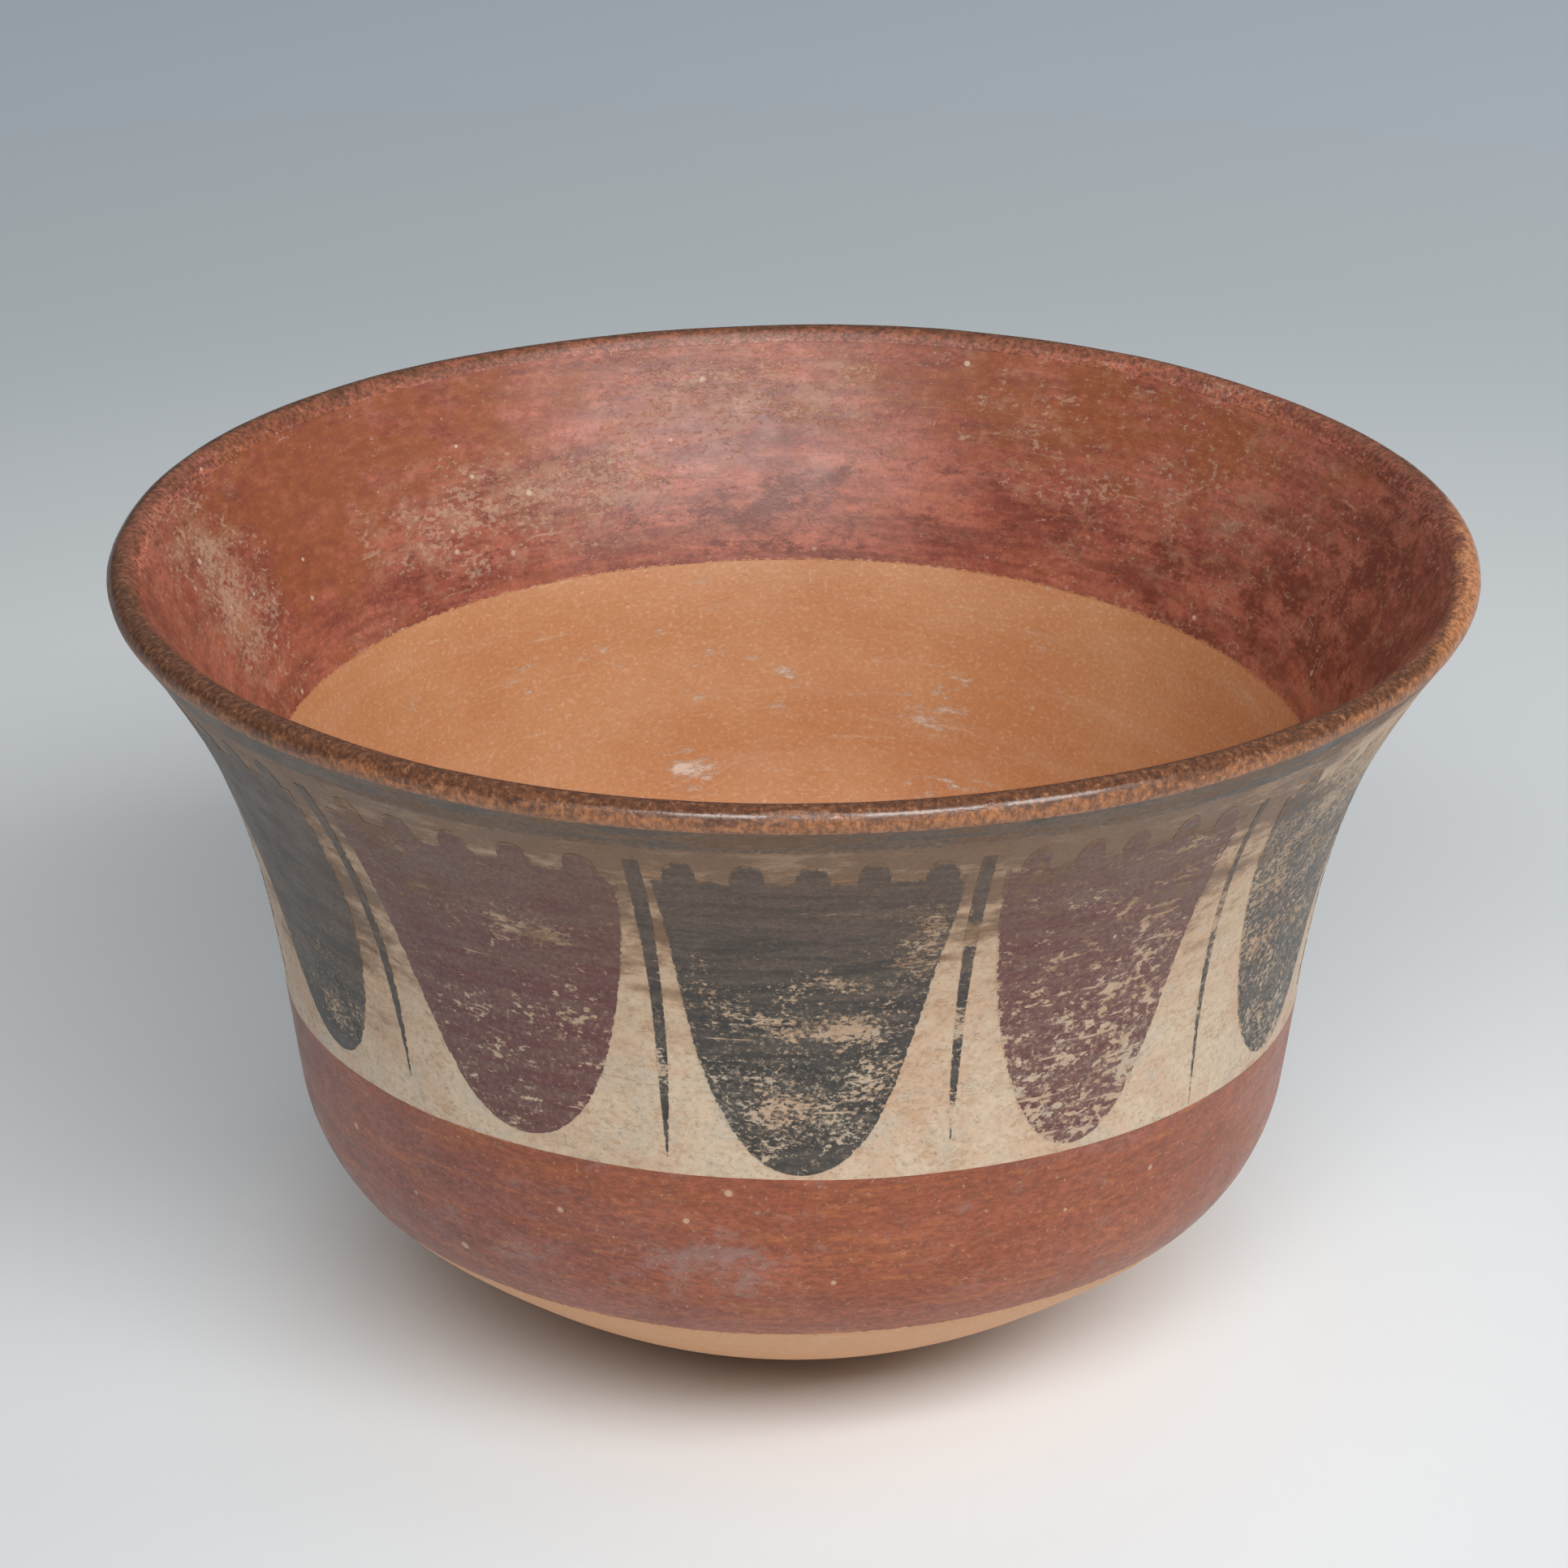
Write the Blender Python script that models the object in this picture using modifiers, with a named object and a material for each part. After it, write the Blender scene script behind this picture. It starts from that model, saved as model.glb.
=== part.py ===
"""Painted flaring bowl: one fired clay body under separate coats of slip and paint.

Lengths are in metres and +Z is up. The origin is the centre of the flat spot that the bowl stands on.
The front faces -Y, with a black tongue in the middle of it.
"""
import math

import bmesh
import bpy

MM = 0.001

# Vessel, measured over its coats
RIM_DIAMETER = 170.0 * MM
BOWL_HEIGHT = 104.0 * MM
LIP_THICKNESS = 3.6 * MM
WALL_THICKNESS = 5.0 * MM
FLOOR_THICKNESS = 5.0 * MM
REST_DIAMETER = 32.0 * MM
SHOULDER_DIAMETER = 125.4 * MM
SHOULDER_HEIGHT = 27.6 * MM
OUTER_SHOULDER_BLEND = 7.0 * MM
INNER_SHOULDER_BLEND = 18.0 * MM
RIM_FLARE = math.radians(36.0)
SHOULDER_LEAN = math.radians(8.4)

# How far the wall keeps its lean and its flare, as shares of the straight line from end to end
LEAN_REACH = 0.35
FLARE_REACH = 0.43

# Coats of slip and paint
SEAT_GAP = 0.3 * MM
COAT_THICKNESS = 0.3 * MM

# Painted zones, as drops below the rim or heights above the rest
LIP_PAINT_DROP = 3.8 * MM
RIM_BAND_WIDTH = 3.2 * MM
PLAIN_STRIP_WIDTH = 2.6 * MM
INTERIOR_SLIP_DROP = 29.0 * MM
CREAM_LINE_HEIGHT = 46.5 * MM
BARE_LINE_HEIGHT = 24.4 * MM

# Tongues, alternately black and plum, and the thin lines between them
TONGUE_PAIRS = 6
TONGUE_TIP_MARGIN = 2.8 * MM
TONGUE_SIDE_MARGIN = 1.2 * MM
SCALLOP_COUNT = 5
SCALLOP_HEIGHT = 3.6 * MM
SCALLOP_SPACE = 3.4 * MM
LINE_TOP_WIDTH = 1.3 * MM
LINE_TIP_WIDTH = 0.5 * MM
LINE_TIP_MARGIN = 5.0 * MM

# Handles of the curve down a tongue's side, as shares of its half width and its length
TONGUE_SIDE_HANDLE = (0.72, 0.55)
TONGUE_TIP_HANDLE = (0.62, 1.0)

# Fineness of the facets
TURN_STEPS = 48
WALL_STEPS = 8
BLEND_STEPS = 3
BASE_STEPS = 6
LIP_STEPS = 6
SCALLOP_STEPS = 6
TONGUE_SIDE_STEPS = 8

# Values that follow from the sizes above
TONGUE_COUNT = 2 * TONGUE_PAIRS
TONGUE_PITCH = 2.0 * math.pi / TONGUE_COUNT
RIM_BAND_TOP = BOWL_HEIGHT - LIP_PAINT_DROP - SEAT_GAP
RIM_BAND_BOTTOM = RIM_BAND_TOP - RIM_BAND_WIDTH
SCALLOP_CREST = RIM_BAND_BOTTOM - PLAIN_STRIP_WIDTH
TONGUE_TOP = SCALLOP_CREST - SCALLOP_HEIGHT
TONGUE_TIP = CREAM_LINE_HEIGHT + TONGUE_TIP_MARGIN
LINE_TIP = CREAM_LINE_HEIGHT + LINE_TIP_MARGIN

# Colours of the fired clay and its paints, with their roughness
FINISHES = {
    "fired_clay": ((0.56, 0.27, 0.13), 0.55),
    "red_slip": ((0.30, 0.075, 0.045), 0.45),
    "rim_paint": ((0.09, 0.035, 0.018), 0.35),
    "cream_slip": ((0.55, 0.42, 0.28), 0.55),
    "band_paint": ((0.17, 0.13, 0.095), 0.55),
    "black_paint": ((0.070, 0.062, 0.055), 0.5),
    "plum_paint": ((0.115, 0.045, 0.045), 0.5),
}


def clear_scene():
    """Remove whatever the file already holds."""
    for old in list(bpy.data.objects):
        bpy.data.objects.remove(old, do_unlink=True)


def make_collection(name):
    """Make a collection and show it in the scene."""
    collection = bpy.data.collections.new(name)
    bpy.context.scene.collection.children.link(collection)
    return collection


def make_material(name):
    """Make one finish as a Principled material."""
    colour, roughness = FINISHES[name]
    material = bpy.data.materials.new(name)
    material.use_nodes = True
    shader = material.node_tree.nodes["Principled BSDF"]
    shader.inputs["Base Color"].default_value = (*colour, 1.0)
    shader.inputs["Roughness"].default_value = roughness
    shader.inputs["Metallic"].default_value = 0.0
    material.diffuse_color = (*colour, 1.0)
    return material


def along(point, direction, distance):
    """Return the point that lies some distance along a direction."""
    return (point[0] + distance * direction[0], point[1] + distance * direction[1])


def bezier(points, steps):
    """Return the points of a Bezier curve of any degree, both ends included."""
    curve = []
    for step in range(steps + 1):
        share = step / steps
        level = list(points)
        while len(level) > 1:
            level = [
                (a[0] + share * (b[0] - a[0]), a[1] + share * (b[1] - a[1]))
                for a, b in zip(level, level[1:])
            ]
        curve.append(level[0])
    return curve


def arc(centre, radius, start, end, steps):
    """Return the points of an arc, with its angles measured from straight down."""
    angles = [start + (end - start) * step / steps for step in range(steps + 1)]
    return [(centre[0] + radius * math.sin(a), centre[1] - radius * math.cos(a)) for a in angles]


def wall_side(base_centre, base_radius, base_start, corner, blend, lip_point):
    """Return one side of the clay in (radius, height), from the base up to the lip."""
    lean = (math.sin(SHOULDER_LEAN), math.cos(SHOULDER_LEAN))
    flare = (math.sin(RIM_FLARE), math.cos(RIM_FLARE))
    base_end = math.asin(corner[0] / base_radius) - blend / base_radius
    base = arc(base_centre, base_radius, base_start, base_end, BASE_STEPS)
    foot = along(corner, lean, blend)
    chord = math.dist(foot, lip_point)
    lower_handle = along(foot, lean, LEAN_REACH * chord)
    upper_handle = along(lip_point, flare, -FLARE_REACH * chord)
    shoulder = bezier([base[-1], corner, foot], BLEND_STEPS)
    wall = bezier([foot, lower_handle, upper_handle, lip_point], WALL_STEPS)
    return base + shoulder[1:] + wall[1:]


def clay_profile():
    """Return the clay's half section, from the middle of its floor over the lip to the middle of its base."""
    cover = SEAT_GAP + COAT_THICKNESS
    lip_radius = LIP_THICKNESS / 2.0
    rest = REST_DIAMETER / 2.0
    shoulder = SHOULDER_DIAMETER / 2.0
    lip_centre = (RIM_DIAMETER / 2.0 - cover - lip_radius, BOWL_HEIGHT - cover - lip_radius)

    # The base is part of a ball that goes through the edge of the rest and the shoulder
    ball_height = (shoulder**2 - rest**2 + SHOULDER_HEIGHT**2) / (2.0 * SHOULDER_HEIGHT)
    ball_centre = (0.0, ball_height)
    ball_radius = math.hypot(rest, ball_height)
    across_lip = (math.cos(RIM_FLARE), -math.sin(RIM_FLARE))
    outer_corner = (shoulder, SHOULDER_HEIGHT)
    outer = wall_side(
        ball_centre,
        ball_radius,
        math.asin(rest / ball_radius),
        outer_corner,
        OUTER_SHOULDER_BLEND,
        along(lip_centre, across_lip, lip_radius),
    )

    # The inside keeps the wall's thickness, and its floor is a smaller ball about the same centre
    lean = (math.sin(SHOULDER_LEAN), math.cos(SHOULDER_LEAN))
    across_wall = (lean[1], -lean[0])
    floor_radius = ball_height - FLOOR_THICKNESS
    start = along(outer_corner, across_wall, -WALL_THICKNESS)
    offset = (start[0], start[1] - ball_height)
    slope = offset[0] * lean[0] + offset[1] * lean[1]
    reach = math.sqrt(slope**2 - math.hypot(*offset) ** 2 + floor_radius**2)
    inner = wall_side(
        ball_centre,
        floor_radius,
        0.0,
        along(start, lean, -slope - reach),
        INNER_SHOULDER_BLEND,
        along(lip_centre, across_lip, -lip_radius),
    )

    # The lip turns over from the inner side to the outer side
    lip_end = math.pi / 2.0 - RIM_FLARE
    lip = arc(lip_centre, lip_radius, lip_end + math.pi, lip_end, LIP_STEPS)
    return inner + lip[1:-1] + outer[::-1] + [(0.0, 0.0)]


def stand_off(profile, distance):
    """Return the profile moved off the clay by a distance, square to its surface."""
    moved = []
    last = len(profile) - 1
    for index, point in enumerate(profile):
        before = profile[max(index - 1, 0)]
        after = profile[min(index + 1, last)]
        run = (after[0] - before[0], after[1] - before[1])
        length = math.hypot(*run)
        moved.append(along(point, (-run[1] / length, run[0] / length), distance))
    return moved


def place_at(profile, station):
    """Return the point at a station, which is an index into the profile with a fraction."""
    first = min(int(station), len(profile) - 2)
    share = station - first
    a = profile[first]
    b = profile[first + 1]
    return (a[0] + share * (b[0] - a[0]), a[1] + share * (b[1] - a[1]))


def station_at(profile, height, inside):
    """Return the station where one side of the clay reaches a height."""
    top = max(range(len(profile)), key=lambda index: profile[index][1])
    side = range(0, top) if inside else range(top, len(profile) - 1)
    for index in side:
        low, high = sorted((profile[index][1], profile[index + 1][1]))
        if low <= height <= high and low < high:
            return index + (height - profile[index][1]) / (profile[index + 1][1] - profile[index][1])
    raise ValueError("the clay does not reach this height")


def stretch(profile, start, end):
    """Return the profile's points from one station to another."""
    middle = [profile[i] for i in range(math.floor(start) + 1, math.ceil(end))]
    return [place_at(profile, start)] + middle + [place_at(profile, end)]


def coat_loop(profile, start, end, layer):
    """Return the closed section of a coat between two stations, in the first or second layer."""
    underside = layer * SEAT_GAP + (layer - 1) * COAT_THICKNESS
    face = stretch(stand_off(profile, underside + COAT_THICKNESS), start, end)
    back = stretch(stand_off(profile, underside), start, end)
    return face + back[::-1]


def turn(name, section, closed, collection, material=None):
    """Turn a section about the bowl's axis into a named object."""
    mesh = bpy.data.meshes.new(name)
    shape = bmesh.new()
    corners = [shape.verts.new((radius, 0.0, height)) for radius, height in section]
    following = corners[1:] + corners[:1] if closed else corners[1:]
    for a, b in zip(corners, following):
        shape.edges.new((a, b))
    shape.to_mesh(mesh)
    shape.free()
    if material is not None:
        mesh.materials.append(material)
    piece = bpy.data.objects.new(name, mesh)
    collection.objects.link(piece)
    screw = piece.modifiers.new("turn", "SCREW")
    screw.axis = "Z"
    screw.angle = 2.0 * math.pi
    screw.steps = TURN_STEPS
    screw.render_steps = TURN_STEPS
    screw.use_merge_vertices = True
    screw.merge_threshold = 0.00001
    screw.use_smooth_shade = True
    return piece


def make_guide(piece):
    """Keep an object as a guide for cutting, out of the finished bowl."""
    piece.hide_render = True
    piece.display_type = "WIRE"


def prism_mesh(name, outline, near, far, collection):
    """Return the mesh of an upright outline drawn out along -Y from one distance to another."""
    curve = bpy.data.curves.new(name, "CURVE")
    curve.dimensions = "2D"
    curve.fill_mode = "BOTH"
    curve.extrude = (far - near) / 2.0
    spline = curve.splines.new("POLY")
    spline.points.add(len(outline) - 1)
    for place, (across, height) in zip(spline.points, outline):
        place.co = (across, height, 0.0, 1.0)
    spline.use_cyclic_u = True
    flat = bpy.data.objects.new(name, curve)
    collection.objects.link(flat)
    graph = bpy.context.evaluated_depsgraph_get()
    mesh = bpy.data.meshes.new_from_object(flat.evaluated_get(graph))
    bpy.data.objects.remove(flat, do_unlink=True)
    solid = bmesh.new()
    solid.from_mesh(mesh)
    bmesh.ops.remove_doubles(solid, verts=solid.verts, dist=0.00001)
    for vert in solid.verts:
        across, height, depth = vert.co
        vert.co = (across, -(near + far) / 2.0 - depth, height)
    bmesh.ops.recalc_face_normals(solid, faces=solid.faces)
    solid.to_mesh(mesh)
    solid.free()
    mesh.name = name
    return mesh


def tongue_outline(half_width):
    """Return a tongue's outline, with its scalloped top edge and its round tip."""
    length = TONGUE_TOP - TONGUE_TIP
    pitch = 2.0 * half_width / SCALLOP_COUNT
    bump = (pitch - SCALLOP_SPACE) / 2.0
    outline = []
    for count in range(SCALLOP_COUNT):
        middle = -half_width + (count + 0.5) * pitch
        for step in range(SCALLOP_STEPS + 1):
            angle = math.pi * step / SCALLOP_STEPS
            lift = SCALLOP_HEIGHT * math.sqrt(math.sin(angle)) if 0 < step < SCALLOP_STEPS else 0.0
            outline.append((middle - bump * math.cos(angle), TONGUE_TOP + lift))
    side = bezier(
        [
            (half_width, TONGUE_TOP),
            (half_width * TONGUE_SIDE_HANDLE[0], TONGUE_TOP - length * TONGUE_SIDE_HANDLE[1]),
            (half_width * TONGUE_TIP_HANDLE[0], TONGUE_TOP - length * TONGUE_TIP_HANDLE[1]),
            (0.0, TONGUE_TIP),
        ],
        TONGUE_SIDE_STEPS,
    )
    other_side = [(-across, height) for across, height in side[-2::-1]]
    return outline + side + other_side


def line_outline():
    """Return the outline of a thin line that narrows towards its lower end."""
    top = LINE_TOP_WIDTH / 2.0
    tip = LINE_TIP_WIDTH / 2.0
    return [(-top, SCALLOP_CREST), (top, SCALLOP_CREST), (tip, LINE_TIP), (-tip, LINE_TIP)]


def paint_on_shell(name, mesh, angle, shell, collection, material):
    """Make one painted shape: the part of the paint's shell that a prism at an angle takes in."""
    own_mesh = mesh.copy()
    own_mesh.materials.append(material)
    piece = bpy.data.objects.new(name, own_mesh)
    piece.rotation_euler = (0.0, 0.0, angle)
    collection.objects.link(piece)
    cut = piece.modifiers.new("lay on the wall", "BOOLEAN")
    cut.operation = "INTERSECT"
    cut.solver = "EXACT"
    cut.object = shell
    return piece


def build():
    """Build the clay body, its coats of slip, and the painted tongues and lines."""
    clear_scene()
    parts = make_collection("painted_bowl")
    guides = make_collection("painted_bowl_guides")
    finish = {name: make_material(name) for name in FINISHES}

    profile = clay_profile()
    turn("clay_body", profile, False, parts, finish["fired_clay"])

    # First layer: four coats that meet edge to edge, from inside the bowl over the lip to its base
    inner_slip_line = station_at(profile, BOWL_HEIGHT - INTERIOR_SLIP_DROP, True)
    inner_lip_line = station_at(profile, BOWL_HEIGHT - LIP_PAINT_DROP, True)
    outer_lip_line = station_at(profile, BOWL_HEIGHT - LIP_PAINT_DROP, False)
    inner_slip_edge = station_at(profile, BOWL_HEIGHT - LIP_PAINT_DROP - SEAT_GAP, True)
    cream_top = station_at(profile, RIM_BAND_TOP, False)
    cream_line = station_at(profile, CREAM_LINE_HEIGHT, False)
    red_top = station_at(profile, CREAM_LINE_HEIGHT - SEAT_GAP, False)
    bare_line = station_at(profile, BARE_LINE_HEIGHT, False)
    first_layer = (
        ("interior_red_slip", inner_slip_line, inner_slip_edge, "red_slip"),
        ("rim_dark_paint", inner_lip_line, outer_lip_line, "rim_paint"),
        ("exterior_cream_slip", cream_top, cream_line, "cream_slip"),
        ("lower_red_slip", red_top, bare_line, "red_slip"),
    )
    for name, start, end, paint in first_layer:
        turn(name, coat_loop(profile, start, end, 1), True, parts, finish[paint])

    # Second layer: what is painted on the cream slip
    band_end = station_at(profile, RIM_BAND_BOTTOM, False)
    turn("rim_grey_band", coat_loop(profile, cream_top, band_end, 2), True, parts, finish["band_paint"])
    shell = turn("paint_shell", coat_loop(profile, cream_top, cream_line, 2), True, guides)
    make_guide(shell)

    tongue_radius = place_at(profile, station_at(profile, TONGUE_TOP, False))[0]
    line_share = (LINE_TOP_WIDTH / 2.0 + TONGUE_SIDE_MARGIN) / tongue_radius
    half_width = tongue_radius * math.sin(TONGUE_PITCH / 2.0 - line_share)
    near = place_at(profile, cream_line)[0] / 2.0
    far = RIM_DIAMETER / 2.0
    tongue = prism_mesh("tongue_outline", tongue_outline(half_width), near, far, guides)
    line = prism_mesh("line_outline", line_outline(), near, far, guides)
    for count in range(TONGUE_COUNT):
        paint = "plum" if count % 2 else "black"
        number = count // 2 + 1
        angle = count * TONGUE_PITCH
        paint_on_shell(f"{paint}_tongue_{number}", tongue, angle, shell, parts, finish[f"{paint}_paint"])
        middle = angle + TONGUE_PITCH / 2.0
        paint_on_shell(f"divider_line_{count + 1:02d}", line, middle, shell, parts, finish["black_paint"])
    bpy.data.meshes.remove(tongue)
    bpy.data.meshes.remove(line)


build()
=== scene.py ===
import math
import random

import bmesh
import bpy
import numpy as np
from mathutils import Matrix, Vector, noise


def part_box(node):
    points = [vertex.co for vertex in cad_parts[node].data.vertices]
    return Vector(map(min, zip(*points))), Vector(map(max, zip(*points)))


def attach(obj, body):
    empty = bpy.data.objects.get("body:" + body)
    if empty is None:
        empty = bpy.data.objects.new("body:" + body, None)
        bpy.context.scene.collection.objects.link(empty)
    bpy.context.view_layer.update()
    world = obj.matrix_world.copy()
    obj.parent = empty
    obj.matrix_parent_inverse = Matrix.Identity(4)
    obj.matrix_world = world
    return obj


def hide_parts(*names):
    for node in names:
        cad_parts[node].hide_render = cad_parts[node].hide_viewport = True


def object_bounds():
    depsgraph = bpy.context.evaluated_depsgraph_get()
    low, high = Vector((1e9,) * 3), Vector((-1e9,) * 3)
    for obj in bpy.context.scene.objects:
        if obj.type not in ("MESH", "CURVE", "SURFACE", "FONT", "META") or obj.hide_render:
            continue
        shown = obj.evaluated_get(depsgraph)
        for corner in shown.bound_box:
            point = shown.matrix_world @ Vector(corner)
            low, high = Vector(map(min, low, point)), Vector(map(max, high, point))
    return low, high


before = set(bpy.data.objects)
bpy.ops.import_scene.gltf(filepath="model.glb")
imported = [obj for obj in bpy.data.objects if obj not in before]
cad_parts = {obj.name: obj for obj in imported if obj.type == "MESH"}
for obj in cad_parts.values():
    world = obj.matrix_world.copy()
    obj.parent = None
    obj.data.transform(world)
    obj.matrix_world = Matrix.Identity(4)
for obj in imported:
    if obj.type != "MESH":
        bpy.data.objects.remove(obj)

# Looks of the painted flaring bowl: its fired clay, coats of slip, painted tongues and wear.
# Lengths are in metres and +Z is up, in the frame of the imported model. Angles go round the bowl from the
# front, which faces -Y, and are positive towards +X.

CAD_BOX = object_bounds()
MM = 0.001

# Sizes that the frame gives
RIM_RADIUS = CAD_BOX[1][0]
BOWL_HEIGHT = CAD_BOX[1][2]
COVER = RIM_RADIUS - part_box("clay_body")[1][0]
INNER_SLIP_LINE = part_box("interior_red_slip")[0][2]
CREAM_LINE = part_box("exterior_cream_slip")[0][2]
BARE_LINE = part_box("lower_red_slip")[0][2]
CREST_RAISE = 1.7 * MM
TONGUE_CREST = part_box("black_tongue_1")[1][2] + CREST_RAISE
TONGUE_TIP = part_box("black_tongue_1")[0][2]
LINE_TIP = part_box("divider_line_01")[0][2]

# Sizes of the clay's section: as in the part, but with a lip that is 1 mm thinner and a shoulder that is
# 0.8 mm nearer the axis, as the photograph shows them
LIP_THICKNESS = 2.6 * MM
WALL_THICKNESS = 5.0 * MM
FLOOR_THICKNESS = 5.0 * MM
REST_RADIUS = 16.0 * MM
SHOULDER_RADIUS = 61.9 * MM
SHOULDER_HEIGHT = 27.6 * MM
OUTER_BLEND = 7.0 * MM
INNER_BLEND = 18.0 * MM
RIM_FLARE = math.radians(36.0)
SHOULDER_LEAN = math.radians(8.4)
LEAN_REACH = 0.35
FLARE_REACH = 0.43

# Coats lie this far over the swollen clay, and their undersides are sunk in it
SLIP_LIFT = 0.08 * MM
LOWER_SLIP_LIFT = SLIP_LIFT + 0.03 * MM
PAINT_LIFT = 0.13 * MM
BAND_LIFT = PAINT_LIFT - 0.02 * MM
COAT_DEPTH = 0.30 * MM
# The lower red starts this far above the cream's edge, so that no clay shows between them
SLIP_OVERLAP = 0.25 * MM

# Painted zones on the lip
LIP_OUTER_DROP = 2.7 * MM
LIP_INNER_DROP = 2.2 * MM
BAND_DROP = 6.2 * MM

# Tongues: count, scallops and the curve of their sides
TONGUE_COUNT = 12
SCALLOPS = 5
SCALLOP_HEIGHT = 3.1 * MM
TOP_SOFTNESS = 0.38  # below 1, the paint thins out more slowly towards a scallop's edge
SIDE_HANDLE = (0.72, 0.53)
TIP_HANDLE = (0.57, 1.0)

# Mesh fineness
SEGMENTS = 240
ROW_STEP = 1.5 * MM
BAND_STEP = 0.50 * MM
LIP_STEP = 0.30 * MM

# Camera, as fitted to the photograph's rim and painted lines
IMAGE_WIDTH = 1932
FOCAL_PIXELS = 6000.0
CAMERA_TILT = math.radians(23.7)
CAMERA_DISTANCE = 620.5 * MM
CAMERA_ASIDE = -1.25 * MM
AIM_DROP = 33.9 * MM

SENSOR_WIDTH = 36.0

# Light: lamps face this height, and the surround goes from its strength at the horizon to that overhead
LAMP_AIM_HEIGHT = 0.06
WARM_WHITE = (1.0, 0.99, 0.97)
COOL_WHITE = (0.98, 0.99, 1.0)
SURROUND_COLOUR = (0.93, 0.97, 1.0, 1.0)
SURROUND_LOW = 0.06
SURROUND_HIGH = 0.30

# Floor: a painted pool of light, lightest round the bowl and darker and cooler further out: the share of its
# fading radius and the colour there
LIGHT_POOL_REACH = 0.8
LIGHT_POOL_STOPS = (
    (0.10, (0.82, 0.86, 0.89)), (0.24, (0.70, 0.73, 0.75)),
    (0.56, (0.55, 0.60, 0.63)), (0.80, (0.54, 0.60, 0.67)),
)


# The clay's section

def bezier(points, count):
    """Return the points of a Bezier curve of any degree as an array."""
    share = np.linspace(0.0, 1.0, count)[:, None]
    level = [np.array(point, float) for point in points]
    while len(level) > 1:
        level = [a + share * (b - a) for a, b in zip(level, level[1:])]
    return level[0]


def arc(centre, radius, start, end, count):
    """Return the points of an arc, with its angles measured from straight down."""
    angle = np.linspace(start, end, count)
    return np.stack([centre[0] + radius * np.sin(angle), centre[1] - radius * np.cos(angle)], axis=1)


def wall_side(ball_height, radius, start, corner, blend, lip_point):
    """Return one side of the clay in (radius, height), from the base up to the lip."""
    lean = np.array([math.sin(SHOULDER_LEAN), math.cos(SHOULDER_LEAN)])
    flare = np.array([math.sin(RIM_FLARE), math.cos(RIM_FLARE)])
    end = math.asin(corner[0] / radius) - blend / radius
    base = arc((0.0, ball_height), radius, start, end, 120)
    foot = corner + blend * lean
    chord = math.dist(foot, lip_point)
    shoulder = bezier([base[-1], corner, foot], 60)
    rise = foot + LEAN_REACH * chord * lean
    wall = bezier([foot, rise, lip_point - FLARE_REACH * chord * flare, lip_point], 200)
    return np.concatenate([base, shoulder[1:], wall[1:]])


def clay_section():
    """Return the clay's half section, from the middle of the floor over the lip to the middle of the base."""
    lip_radius = LIP_THICKNESS / 2.0
    lip_centre = np.array([RIM_RADIUS - COVER - lip_radius, BOWL_HEIGHT - COVER - lip_radius])
    across_lip = np.array([math.cos(RIM_FLARE), -math.sin(RIM_FLARE)])
    lean = np.array([math.sin(SHOULDER_LEAN), math.cos(SHOULDER_LEAN)])
    across_wall = np.array([lean[1], -lean[0]])
    ball = (SHOULDER_RADIUS**2 - REST_RADIUS**2 + SHOULDER_HEIGHT**2) / (2.0 * SHOULDER_HEIGHT)
    ball_radius = math.hypot(REST_RADIUS, ball)
    corner = np.array([SHOULDER_RADIUS, SHOULDER_HEIGHT])
    rest_angle = math.asin(REST_RADIUS / ball_radius)
    lip_outer = lip_centre + lip_radius * across_lip
    lip_inner = lip_centre - lip_radius * across_lip
    outer = wall_side(ball, ball_radius, rest_angle, corner, OUTER_BLEND, lip_outer)
    start = corner - WALL_THICKNESS * across_wall
    floor_radius = ball - FLOOR_THICKNESS
    offset = start - np.array([0.0, ball])
    slope = float(offset @ lean)
    reach = math.sqrt(slope**2 - float(offset @ offset) + floor_radius**2)
    inner_corner = start - (slope + reach) * lean
    inner = wall_side(ball, floor_radius, 0.0, inner_corner, INNER_BLEND, lip_inner)
    lip_end = math.pi / 2.0 - RIM_FLARE
    lip = arc(lip_centre, lip_radius, lip_end + math.pi, lip_end, 60)
    return np.concatenate([inner, lip[1:-1], outer[::-1], np.array([[0.0, 0.0]])])


def measure_section(points):
    """Return the section at even steps along it: distance, radius, height and the way out of the clay."""
    along = np.concatenate([[0.0], np.cumsum(np.hypot(*np.diff(points, axis=0).T))])
    even = np.linspace(0.0, along[-1], 1400)
    radius = np.interp(even, along, points[:, 0])
    height = np.interp(even, along, points[:, 1])
    run_r = np.gradient(radius)
    run_z = np.gradient(height)
    length = np.hypot(run_r, run_z)
    return even, radius, height, -run_z / length, run_r / length


ALONG, RADIUS, HEIGHT, OUT_R, OUT_Z = measure_section(clay_section())
TOP = int(np.argmax(HEIGHT))


def inside(height):
    """Return the distance along the section where its inner side reaches a height."""
    return np.interp(height, HEIGHT[: TOP + 1], ALONG[: TOP + 1])


def outside(height):
    """Return the distance along the section where its outer side reaches a height."""
    return np.interp(height, HEIGHT[TOP:][::-1], ALONG[TOP:][::-1])


def ease(value, low, high):
    """Return 0 below low, 1 above high and a smooth change between them."""
    share = np.clip((value - low) / (high - low), 0.0, 1.0)
    return share * share * (3.0 - 2.0 * share)


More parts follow.
